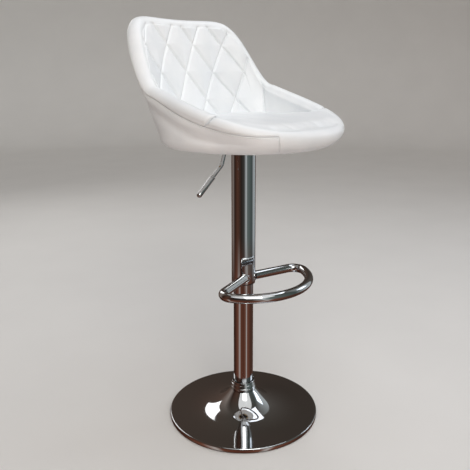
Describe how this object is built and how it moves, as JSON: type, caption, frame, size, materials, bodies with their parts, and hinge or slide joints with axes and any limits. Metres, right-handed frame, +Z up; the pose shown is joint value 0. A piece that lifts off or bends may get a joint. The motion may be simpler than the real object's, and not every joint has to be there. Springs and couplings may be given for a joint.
{
  "type": "bar stool",
  "caption": "Height-adjustable bar stool with a quilted bucket seat, a chromed swivelling gas-lift column, a looped footrest, a release lever and a trumpet base.",
  "frame": {"origin": "column axis where it meets the floor, in the plane of the floor ring's underside", "axes": "+Z up along the column, -Y towards the front edge of the seat and the footrest, +X to the left of a person who sits on it"},
  "size_m": [0.442, 0.4755, 1.0157],
  "materials": {
    "chrome": "polished decorative chrome plating",
    "leatherette": "white faux leather over foam, soft satin with a fine grain",
    "black_plastic": "moulded black nylon",
    "floor_rubber": "black rubber",
    "cast_iron": "rough casting",
    "black_steel": "black powder coat",
    "zinc_steel": "zinc-plated steel",
    "plywood": "raw birch plywood",
    "shell_plastic": "moulded polypropylene"
  },
  "bodies": {
    "root": {"floor_ring": "floor_rubber", "base_weight": "cast_iron", "base_shell": "chrome", "column_flange": "black_steel", "base_screws": "zinc_steel", "collar_trim": "chrome", "collar_seal": "black_plastic", "stand_tube": "chrome", "guide_bush": "black_plastic", "tube_end_plate": "zinc_steel", "lower_race": "zinc_steel", "bearing_balls": "zinc_steel"},
    "rod": {"upper_race": "zinc_steel", "rod_clip": "zinc_steel", "piston_rod": "zinc_steel", "piston": "zinc_steel", "piston_seal": "black_plastic"},
    "seat": {"gas_cylinder": "black_steel", "cylinder_end_guide": "black_plastic", "cover_tube": "chrome", "cover_bush": "black_plastic", "footrest": "chrome", "taper_socket": "black_steel", "mechanism_housing": "black_steel", "lever_pin": "zinc_steel", "seat_plate": "black_steel", "plate_bolts": "zinc_steel", "plate_washers": "zinc_steel", "t_nuts": "zinc_steel", "seat_board": "plywood", "seat_shell": "shell_plastic", "outer_cover": "leatherette", "seat_cushion": "leatherette", "back_pad": "leatherette", "rim_bolster": "leatherette"},
    "lever": {"release_lever": "chrome", "lever_grip": "chrome"},
    "button": {"release_button": "zinc_steel"}
  },
  "joints": [
    {"name": "swivel", "type": "hinge", "parent": "root", "child": "rod", "pos_m": [0, 0, 0], "axis": [0, 0, 1], "continuous": true},
    {"name": "gas_lift", "type": "slide", "parent": "rod", "child": "seat", "axis": [0, 0, 1], "range_m": [-0.21, 0]},
    {"name": "lever_lift", "type": "hinge", "parent": "seat", "child": "lever", "pos_m": [-0.038, 0, 0.7027], "axis": [0, 1, 0], "range_deg": [0, 5], "stiffness_Nm_per_rad": 1, "springref_deg": -2.86},
    {"name": "button_press", "type": "slide", "parent": "seat", "child": "button", "axis": [0, 0, 1], "range_m": [-0.0037, 0]}
  ],
  "couplings": [
    {"joint": "button_press", "follows": "lever_lift", "m_per_rad": -0.0415}
  ]
}
